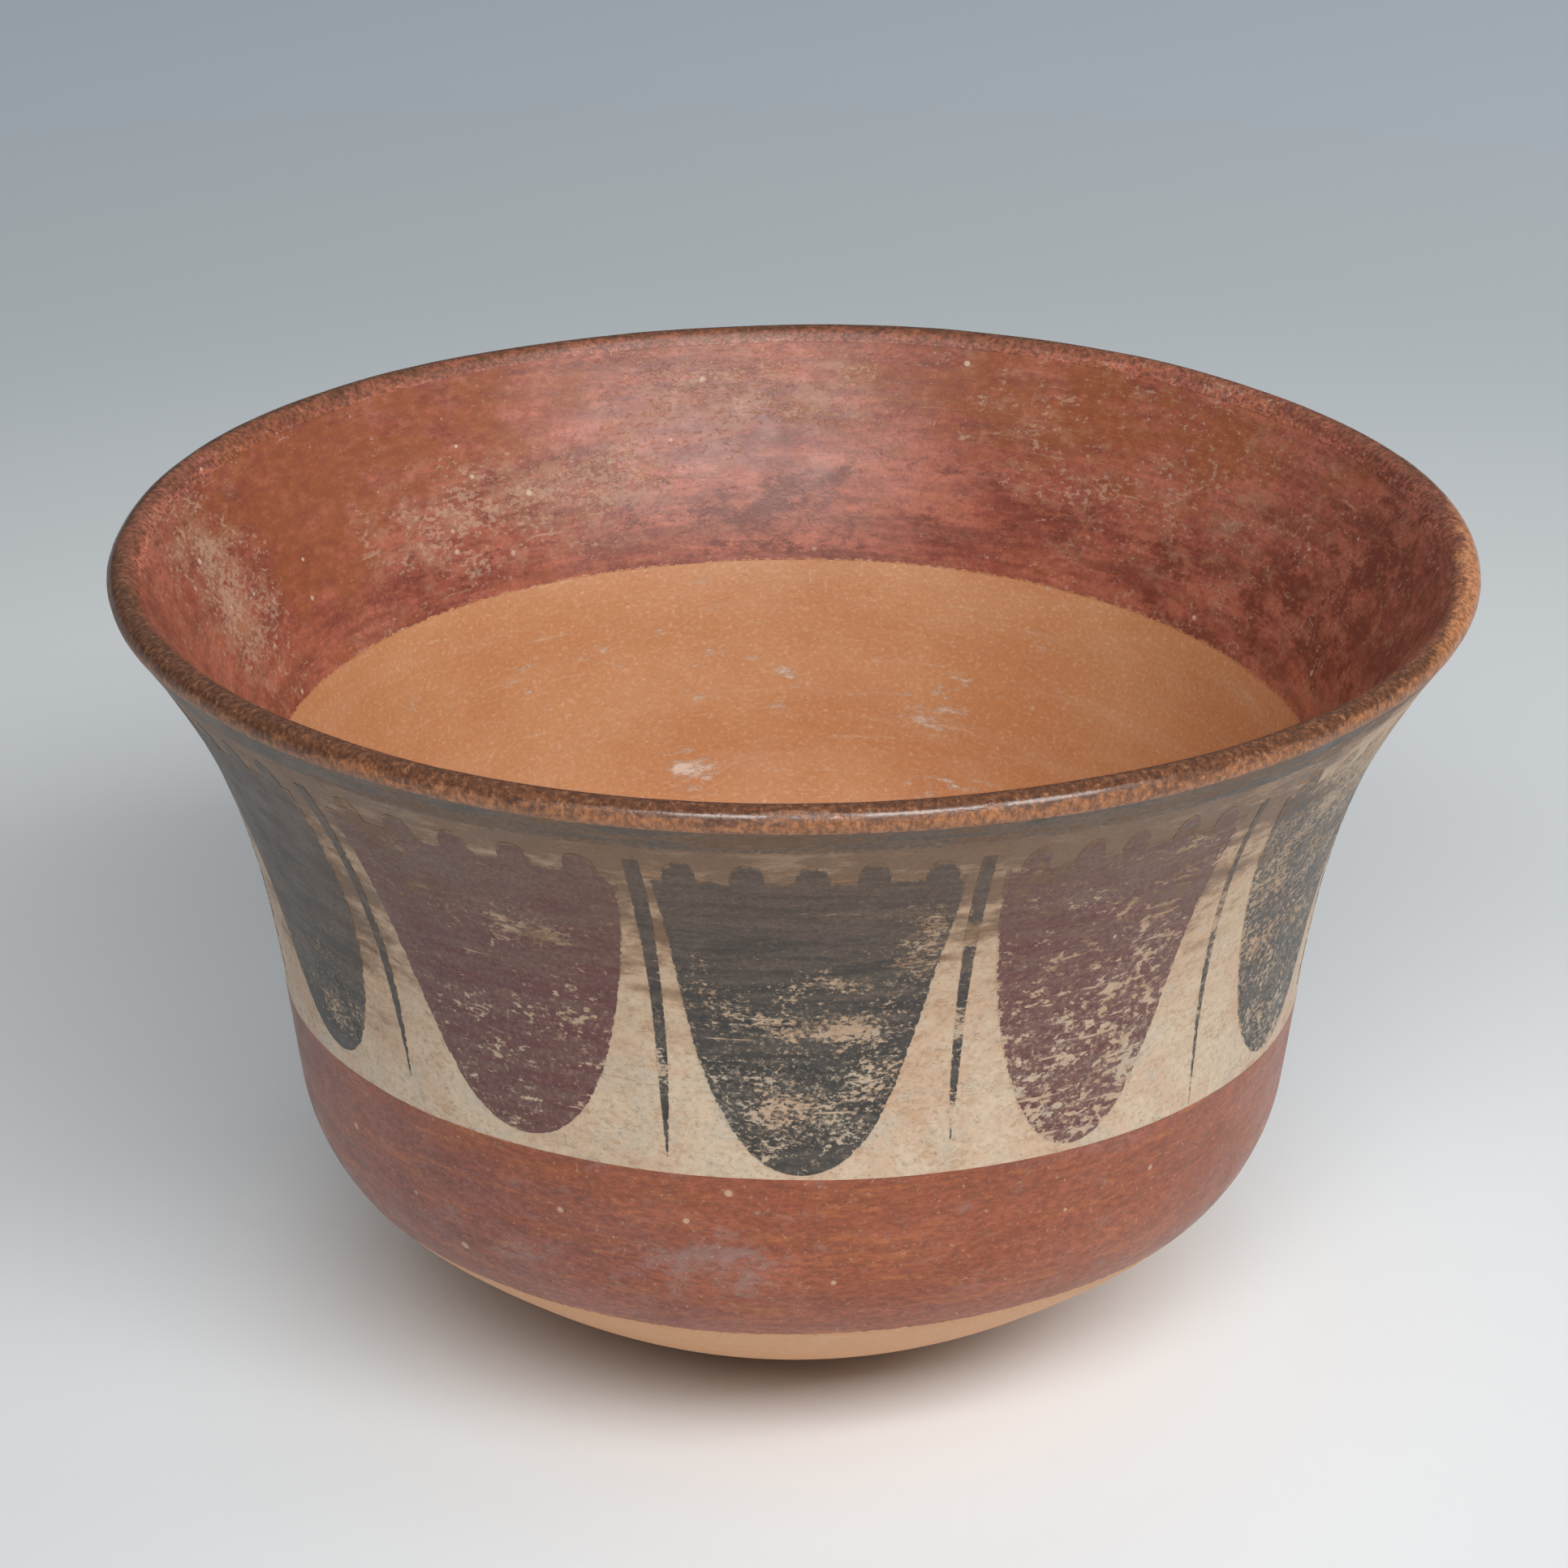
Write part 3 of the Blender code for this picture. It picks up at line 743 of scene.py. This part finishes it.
def make_clay(material):
    """The clay vessel itself, closed at the middle of its floor and of its base."""
    total = ALONG[-1]
    lip = np.arange(inside(BOWL_HEIGHT - 6.0 * MM), outside(BOWL_HEIGHT - 6.0 * MM), LIP_STEP)
    rows = np.unique(np.concatenate([np.arange(ROW_STEP, total - ROW_STEP, ROW_STEP), lip]))
    angles, along = np.meshgrid(round_angles(), rows)
    points = surface(angles, along, 0.0).reshape(-1, 3)
    poles = surface(np.zeros(2), np.array([0.0, total]), 0.0)
    count = len(points)
    faces = grid_faces(len(rows), SEGMENTS, True).tolist()
    for index in range(SEGMENTS):
        beside = (index + 1) % SEGMENTS
        last = count - SEGMENTS
        faces.append([count, beside, index])
        faces.append([count + 1, last + index, last + beside])
    wear = patches(angles, height_at(along), FLOOR_SCUFFS) * (along < ALONG[TOP])
    values = {
        "wear": np.concatenate([wear.reshape(-1), [0.0, 0.0]]),
        "dry": np.concatenate([(along > ALONG[TOP]).reshape(-1), [0.0, 1.0]]),
    }
    flow = np.concatenate([flow_places(angles, along), [[0.0, 0.0, 0.0], [0.0, 0.0, total]]])
    piece = make_piece("fired_clay_vessel", np.concatenate([points, poles]), flow, faces, material, values)
    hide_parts("clay_body")


def make_ring(name, node, start, end, lift, material, marks, step=ROW_STEP, frayed="end"):
    """A coat all round the bowl between two edges, with patches for each of the values its material reads."""
    angle, along, from_start, from_end, across = ring_grid(start, end, step)
    height = height_at(along)
    values = {key: patches(angle, height, spots) for key, spots in marks.items()}
    values["edge"] = from_start if frayed == "start" else from_end
    values["across"] = across
    values["dry"] = 1.0 * (along > ALONG[TOP])
    piece = make_coat(name, angle, along, lift, True, material, values)
    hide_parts(node)


def scalloped_top(draw):
    """Return places across a tongue from -1 to 1 and how high its scalloped top rises at each."""
    pitch = 2.0 / SCALLOPS
    half = 0.27 * pitch
    steps = np.array([-1.0, -0.985, -0.93, -0.82, -0.62, -0.34, 0.0, 0.34, 0.62, 0.82, 0.93, 0.985, 1.0])
    rise = (1.0 - np.abs(steps) ** 2.4) ** 0.45
    across = [-1.0, 1.0]
    lift = [0.0, 0.0]
    for index in range(SCALLOPS):
        middle = -1.0 + pitch * (index + 0.5 + draw.uniform(-0.06, 0.06))
        across += (middle + steps * half * draw.uniform(0.92, 1.08)).tolist()
        lift += (rise * SCALLOP_HEIGHT * draw.uniform(0.85, 1.05)).tolist()
    order = np.argsort(across)
    return np.array(across)[order], np.array(lift)[order]


def make_tongue(number, count, material, shape):
    """One tongue: angles of its top and tip, its half angle, its tip's height, its patches and its wear."""
    top_angle, tip_angle, half_angle, tip_height, spots, top_wear, tip_wear = shape
    draw = random.Random(100 + count)
    across, lift = scalloped_top(draw)
    share = np.linspace(0.0, 1.0, 34)
    side = bezier([(1.0, 0.0), SIDE_HANDLE, TIP_HANDLE, (0.0, 1.0)], len(share))
    side[-1] = (0.03, 1.0)
    top = TONGUE_CREST - SCALLOP_HEIGHT
    fade = np.clip(1.0 - share / 0.12, 0.0, 1.0)
    sway = [draw.uniform(-1.0, 1.0) for _ in range(6)]
    wobble_left = 1.0 + 0.018 * (sway[0] * np.sin(5.0 * share + sway[1]) + sway[2] * np.sin(11.0 * share))
    wobble_right = 1.0 + 0.018 * (sway[3] * np.sin(5.0 * share + sway[4]) + sway[5] * np.sin(12.0 * share))
    width = np.where(across[None, :] < 0.0, wobble_left[:, None], wobble_right[:, None])
    tip_height *= MM
    height = top - (top - tip_height) * side[:, 1][:, None] + fade[:, None] * lift[None, :]
    along = outside(height)
    top_radius = np.interp(outside(top), ALONG, RADIUS)
    radius = np.interp(along, ALONG, RADIUS)
    half = math.radians(half_angle) * top_radius * side[:, 0][:, None] * width
    middle_angle = np.radians(top_angle + (tip_angle - top_angle) * side[:, 1])[:, None]
    angle = middle_angle + across[None, :] * half / radius
    above = top + lift[None, :] - height
    edge = np.minimum((1.0 - np.abs(across))[None, :] * half, TOP_SOFTNESS * np.maximum(above, 0.0))
    edge = np.minimum(edge, height - tip_height + 0.3 * MM)
    down = (top - height) / (top - tip_height)
    wear = top_wear + (tip_wear - top_wear) * ease(down, 0.15, 0.75) + patches(angle, height, spots)
    values = {"edge": edge, "wear": wear, "grime_and_shade_offset": patches(angle, height, GRIME_AND_SHADE_OFFSETS)}
    piece = make_coat(f"{number}_coat", angle, along, PAINT_LIFT, False, material, values)
    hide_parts(number)


def make_line(count, material, shape):
    """One thin brush line: angles and heights of its top and tip, its width, its wear and its gaps."""
    top_angle, tip_angle, top_height, tip_height, width, base_wear, gaps = shape
    share = np.linspace(0.0, 1.0, 48)[:, None]
    across = np.linspace(-1.0, 1.0, 7)[None, :]
    height = (top_height + (tip_height - top_height) * share) * MM
    along = outside(height) + 0.0 * across
    radius = np.interp(along, ALONG, RADIUS)
    draw = random.Random(300 + count)
    swing = draw.uniform(-0.3, 0.3) * MM * np.sin(3.0 * share + draw.uniform(0.0, 3.0))
    taper = 1.0 - 0.9 * share**3
    half = 0.5 * width * MM * taper * (1.0 + 0.10 * np.sin(9.0 * share + draw.uniform(0.0, 6.0)))
    angle = np.radians(top_angle + (tip_angle - top_angle) * share) + (swing + across * half) / radius
    edge = (1.0 - np.abs(across)) * half + 0.10 * MM
    wear = base_wear + patches(angle, height + 0.0 * across, [(top_angle, *gap) for gap in gaps])
    node = f"divider_line_{count + 1:02d}"
    values = {"edge": edge, "wear": wear, "grime_and_shade_offset": patches(angle, height + 0.0 * across, GRIME_AND_SHADE_OFFSETS)}
    piece = make_coat(f"{node}_coat", angle, along, PAINT_LIFT, False, material, values)
    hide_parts(node)


# Patches on each zone, for its wear, tint, dust or grime offset, with painted shade and a painted sheen among
# them: the angle in degrees, the height in mm, the half width in degrees, the half height in mm and the
# strength
FLOOR_SCUFFS = [
    (-166, 47, 4, 2.5, 1.6), (161, 56, 8, 3, 0.9), (160, 46, 6, 3, 1.0), (-175, 60, 14, 4, 0.5),
    (-150, 66, 12, 3, 0.4), (145, 62, 10, 3, 0.5), (60, 30, 20, 10, 0.3), (-20, 20, 30, 8, 0.3),
]
INTERIOR_WEAR_AND_SHEEN = [
    (-101, 95, 8, 8, 0.7), (-98, 86, 7, 8, 0.55), (-117, 90, 6, 12, -0.9), (-140, 86, 18, 5, 0.6),
    # The patch at -174 degrees is a painted sheen: pale film where the back of the wall catches the light.
    (-158, 86, 14, 5, 0.7), (-174, 96, 14, 6, 0.50), (172, 92, 12, 3, 0.15), (-136, 97, 16, 7, -0.3),
    (178, 85, 24, 6, -0.8),
    (150, 89, 14, 6, 0.45), (124, 90, 10, 7, 0.35), (40, 90, 30, 8, 0.4), (-30, 88, 20, 8, 0.5),
]
INTERIOR_TINT_AND_SHADE = [
    # The negative patch at 95 degrees darkens the right inner wall to maroon: partly the slip's tone, partly
    # painted shade.
    (-138, 96, 22, 7, 0.85), (136, 97, 26, 7, 0.9), (158, 92, 16, 8, 0.4), (95, 90, 30, 16, -0.65),
    (20, 97, 30, 6, 0.6), (-118, 90, 9, 14, 0.8), (150, 84, 26, 6, -0.35), (-128, 80, 14, 6, -0.3),
    (180, 83, 18, 5, -0.35),
]
RED_DUST = [
    (-8, 37, 6, 4, 0.9), (-12, 33, 5, 3, 0.6), (-40, 31, 20, 6, 0.35), (150, 36, 14, 6, 0.7),
    (-80, 38, 25, 10, 0.4),
]
RED_WARM = [
    (0, 43, 10, 5, 0.8), (24, 36, 30, 14, 0.6), (60, 38, 30, 12, 0.4), (170, 38, 40, 12, 0.6),
    (-42, 34, 26, 14, -0.6), (-30, 46, 24, 3, 0.8),
]
LIP_RUBS = [
    (83, 101, 19, 20, 0.47), (48, 101, 16, 20, -0.04), (-56, 101, 24, 20, -0.10), (-95, 101, 20, 20, -0.15),
]
LIP_BARE = [(-96, 101, 30, 20, 1.0), (98, 101, 24, 20, 1.2), (60, 101, 20, 20, 0.5), (136, 101, 22, 20, 1.0)]
BAND_WEAR = [(5, 99, 10, 8, 0.1), (56, 99, 22, 8, 0.7), (80, 97, 20, 10, 0.9), (-40, 99, 14, 8, 0.25)]
# Grime offsets: a positive patch takes grime off the upper right, and the negative patches on the left add
# grime and tan as painted shade on that side.
GRIME_AND_SHADE_OFFSETS = [(73, 93, 22, 16, 1.35), (-49, 68, 9, 18, -0.85), (-66, 62, 9, 16, -0.85)]
CREAM_WEAR = [(16, 60, 10, 12, 0.4), (-14, 55, 8, 10, 0.3)]

# Tongues that the photograph shows, by their place in the row: the angle at the top and tip, the half angle
# at the top, the tip's height, patches of wear, and the wear at the top and tip
SEEN_TONGUES = {
    0: (1.2, 0.7, 13.2, 48.8, [
        (11.5, 83, 3.2, 8, 1.3), (4.5, 76, 4, 0.9, 1.2), (1, 70, 6, 1.2, 1.2), (4.5, 69.5, 3, 1.8, 0.8),
        (1, 57, 5, 3, 0.4), (1, 50.5, 5, 1.8, -0.5), (-9.5, 79, 2, 2, 0.6),
    ], -0.45, 0.45),
    1: (29.2, 30.2, 11.8, 48.6, [
        (31, 60, 7, 7, 0.3), (35, 80, 5, 8, 0.4), (22, 93, 5, 4, 0.7), (37, 90, 6, 7, 0.5),
    ], 0.05, 0.50),
    2: (59.5, 62.5, 13.2, 48.0, [(52, 76, 6, 8, 0.3), (66, 92, 12, 8, 1.1)], 0.45, 0.45),
    10: (-60.5, -57.5, 12.6, 50.6, [(-55, 57, 6, 3, 0.7)], -0.75, 0.0),
    11: (-28.9, -29.1, 14.2, 50.4, [
        (-24, 81, 4, 2, 0.9), (-37, 84, 6, 2, 0.6), (-22, 68, 5, 2, 0.6), (-29, 82, 9, 3, 0.6),
        (-33, 87, 6, 3, 0.4), (-39, 94, 5, 5, 2.2),
    ], -0.30, 0.15),
}
# Lines that the photograph shows: the angle at the top and tip, the height of the top and tip, the width, the
# wear all over and gaps, each a height, a half width, a half height and a strength
SEEN_LINES = {
    0: (15.6, 16.1, 95.5, 52.5, 1.60, -0.1, [(83, 20, 2.4, 2.2), (68.5, 20, 2.2, 1.6), (56, 20, 2.6, 1.5)]),
    1: (42.6, 46.8, 94.5, 47.6, 1.00, 0.25, [(76, 20, 4, 0.8)]),
    10: (-45.2, -44.2, 95.0, 52.6, 1.70, -0.6, []),
    11: (-13.3, -13.0, 95.5, 50.6, 1.75, -0.1, [(64, 20, 6, 0.5)]),
}
# Height of the top of the lines on the far side, and the half angle of the tongues there at their top
UNSEEN_LINE_TOP = 95.5
UNSEEN_HALF_ANGLE = 13.0


def unseen_tongue(middle, draw):
    """Return the shape of a tongue on the far side, a little different each time."""
    spot = (middle + draw.uniform(-8, 8), draw.uniform(58, 84), 6, 4, draw.uniform(0.3, 0.8))
    wear = draw.uniform(-0.6, 0.1)
    turns = (middle + draw.uniform(-1.0, 1.0), middle + draw.uniform(-1.5, 1.5))
    half_angle = UNSEEN_HALF_ANGLE + draw.uniform(-0.3, 0.3)
    tip = TONGUE_TIP / MM + draw.uniform(-0.8, 0.8)
    return (*turns, half_angle, tip, [spot], wear, wear + draw.uniform(0.4, 0.9))


def unseen_line(middle, draw):
    """Return the shape of a line on the far side, a little different each time."""
    turns = (middle + draw.uniform(-1.0, 1.0), middle + draw.uniform(-1.0, 1.0))
    gap = (draw.uniform(58, 86), 20, draw.uniform(1.5, 4.0), draw.uniform(0.2, 1.8))
    tip = LINE_TIP / MM + draw.uniform(-1.5, 1.5)
    return (*turns, UNSEEN_LINE_TOP, tip, draw.uniform(0.9, 1.4), draw.uniform(-0.5, 0.1), [gap])


def make_painting():
    """All the tongues and the lines between them."""
    black = tongue_paint("black_paint", BLACK, BLACK_SOFT, 101.0, 0.8)
    plum = tongue_paint("plum_paint", PLUM, PLUM_SOFT, 131.0, 1.4)
    for count in range(TONGUE_COUNT):
        draw = random.Random(500 + count)
        middle = count * 360.0 / TONGUE_COUNT
        name = ("plum" if count % 2 else "black") + f"_tongue_{count // 2 + 1}"
        tongue = unseen_tongue(middle, draw)
        make_tongue(name, count, plum if count % 2 else black, SEEN_TONGUES.get(count, tongue))
        line = unseen_line(middle + 180.0 / TONGUE_COUNT, draw)
        make_line(count, black, SEEN_LINES.get(count, line))


def make_bowl():
    """The clay, its slips and its painting."""
    cream_line = hand_line(CREAM_LINE, 0.10 * MM, 3)
    bare_line = hand_line(BARE_LINE, 0.22 * MM, 5)
    inner_line = hand_line(INNER_SLIP_LINE, 0.16 * MM, 8)
    band_line = hand_line(BOWL_HEIGHT - BAND_DROP, 0.20 * MM, 9)
    lip_in = hand_line(BOWL_HEIGHT - LIP_INNER_DROP, 0.12 * MM, 12)
    lip_out = hand_line(BOWL_HEIGHT - LIP_OUTER_DROP, 0.08 * MM, 13)

    def tilted(angle):
        """The cream's lower edge, which the brush let fall towards the right of the front."""
        fall = 1.6 * MM * np.cos(angle + math.radians(28.0))
        return cream_line(angle) + fall * ease(np.cos(angle), -0.6, 0.6)

    make_clay(fired_clay())
    make_ring(
        "interior_red_slip_coat", "interior_red_slip",
        lambda a: inside(inner_line(a)), lambda a: inside(lip_in(a)), SLIP_LIFT, interior_red(),
        {"wear": INTERIOR_WEAR_AND_SHEEN, "tint": INTERIOR_TINT_AND_SHADE}, frayed="start",
    )
    make_ring(
        "rim_dark_paint_coat", "rim_dark_paint",
        lambda a: inside(lip_in(a)), lambda a: outside(lip_out(a)), PAINT_LIFT, rim_paint(),
        {"wear": INTERIOR_WEAR_AND_SHEEN, "tint": INTERIOR_TINT_AND_SHADE, "rubbed": LIP_RUBS, "bare": LIP_BARE}, step=LIP_STEP,
    )
    make_ring(
        "exterior_cream_slip_coat", "exterior_cream_slip",
        lambda a: outside(lip_out(a)), lambda a: outside(tilted(a)), SLIP_LIFT, cream_slip(),
        {"wear": CREAM_WEAR, "grime_and_shade_offset": GRIME_AND_SHADE_OFFSETS},
    )
    make_ring(
        "rim_grey_band_coat", "rim_grey_band",
        lambda a: outside(lip_out(a)), lambda a: outside(band_line(a)), BAND_LIFT, grey_band(),
        {"wear": BAND_WEAR, "grime_and_shade_offset": GRIME_AND_SHADE_OFFSETS}, step=BAND_STEP,
    )
    make_ring(
        "lower_red_slip_coat", "lower_red_slip",
        lambda a: outside(tilted(a) + SLIP_OVERLAP), lambda a: outside(bare_line(a)),
        LOWER_SLIP_LIFT, lower_red(),
        {"wear": RED_DUST, "tint": RED_WARM},
    )
    make_painting()


# Stage, light and camera

def make_floor():
    """A pale floor with a painted pool of light: lightest round the bowl, darker and cooler further away."""
    net = Net("pale_floor", None)
    spot = net.add("VectorMath", operation="LENGTH")
    net.put(spot.inputs[0], net.place)
    # The ramp paints a pool of light: pale near the bowl, darker and cooler further out.
    ramp = net.add("ValToRGB")
    net.put(ramp.inputs[0], net.math("DIVIDE", spot.outputs["Value"], LIGHT_POOL_REACH))
    band = ramp.color_ramp
    band.interpolation = "EASE"
    while len(band.elements) < len(LIGHT_POOL_STOPS):
        band.elements.new(0.5)
    for element, (place, colour) in zip(band.elements, LIGHT_POOL_STOPS):
        element.position = place
        element.color = (*colour, 1.0)
    shader = net.add("BsdfDiffuse")
    net.put(shader.inputs["Color"], ramp.outputs[0])
    output = net.add("OutputMaterial")
    net.tree.links.new(shader.outputs[0], output.inputs[0])
    mesh = bpy.data.meshes.new("floor")
    shape = bmesh.new()
    bmesh.ops.create_grid(shape, x_segments=8, y_segments=8, size=4.0)
    shape.to_mesh(mesh)
    shape.free()
    mesh.materials.append(net.material)
    floor = bpy.data.objects.new("floor", mesh)
    bpy.context.scene.collection.objects.link(floor)


def make_lamp(name, place, size, power, colour):
    """A rectangular soft box that faces the bowl."""
    lamp = bpy.data.lights.new(name, "AREA")
    lamp.shape = "RECTANGLE"
    lamp.size, lamp.size_y = size
    lamp.energy = power
    lamp.color = colour
    holder = bpy.data.objects.new(name, lamp)
    holder.location = place
    aim = Vector((0.0, 0.0, LAMP_AIM_HEIGHT)) - Vector(place)
    holder.rotation_euler = aim.to_track_quat("-Z", "Y").to_euler()
    bpy.context.scene.collection.objects.link(holder)
    return holder


def make_light():
    """Soft studio light: a wide box high in front, weak ones beside and behind, and a surround.

    The weak ones are left out of reflections, because they drew a grey line along the lip and a sheen inside.
    """
    make_lamp("key_box", (0.27, -0.90, 0.98), (1.5, 0.45), 18.5, WARM_WHITE)
    side = make_lamp("side_box", (0.95, 0.15, 0.55), (0.6, 0.6), 2.0, WARM_WHITE)
    side.visible_glossy = False
    fill = make_lamp("back_box", (0.40, 1.05, 0.72), (0.8, 0.8), 1.4, COOL_WHITE)
    fill.visible_glossy = False
    world = bpy.data.worlds.new("soft_surround")
    world.use_nodes = True
    tree = world.node_tree
    rise = tree.nodes.new("ShaderNodeSeparateXYZ")
    tree.links.new(tree.nodes.new("ShaderNodeTexCoord").outputs["Generated"], rise.inputs[0])
    level = tree.nodes.new("ShaderNodeMapRange")
    tree.links.new(rise.outputs[2], level.inputs[0])
    level.inputs[3].default_value = SURROUND_LOW
    level.inputs[4].default_value = SURROUND_HIGH
    glow = tree.nodes["Background"]
    tree.links.new(level.outputs[0], glow.inputs["Strength"])
    glow.inputs["Color"].default_value = SURROUND_COLOUR
    bpy.context.scene.world = world


def make_camera():
    """The photograph's view."""
    lens = bpy.data.cameras.new("photo_camera")
    lens.sensor_fit = "HORIZONTAL"
    lens.sensor_width = SENSOR_WIDTH
    lens.lens = FOCAL_PIXELS * SENSOR_WIDTH / IMAGE_WIDTH
    lens.clip_start = 0.01
    holder = bpy.data.objects.new("photo_camera", lens)
    holder.location = (
        CAMERA_ASIDE,
        -CAMERA_DISTANCE * math.cos(CAMERA_TILT),
        BOWL_HEIGHT - AIM_DROP + CAMERA_DISTANCE * math.sin(CAMERA_TILT),
    )
    holder.rotation_euler = (math.pi / 2.0 - CAMERA_TILT, 0.0, 0.0)
    bpy.context.scene.collection.objects.link(holder)
    bpy.context.scene.camera = holder


make_camera()
make_light()
make_floor()
make_bowl()
bpy.context.scene.view_settings.view_transform = "Standard"
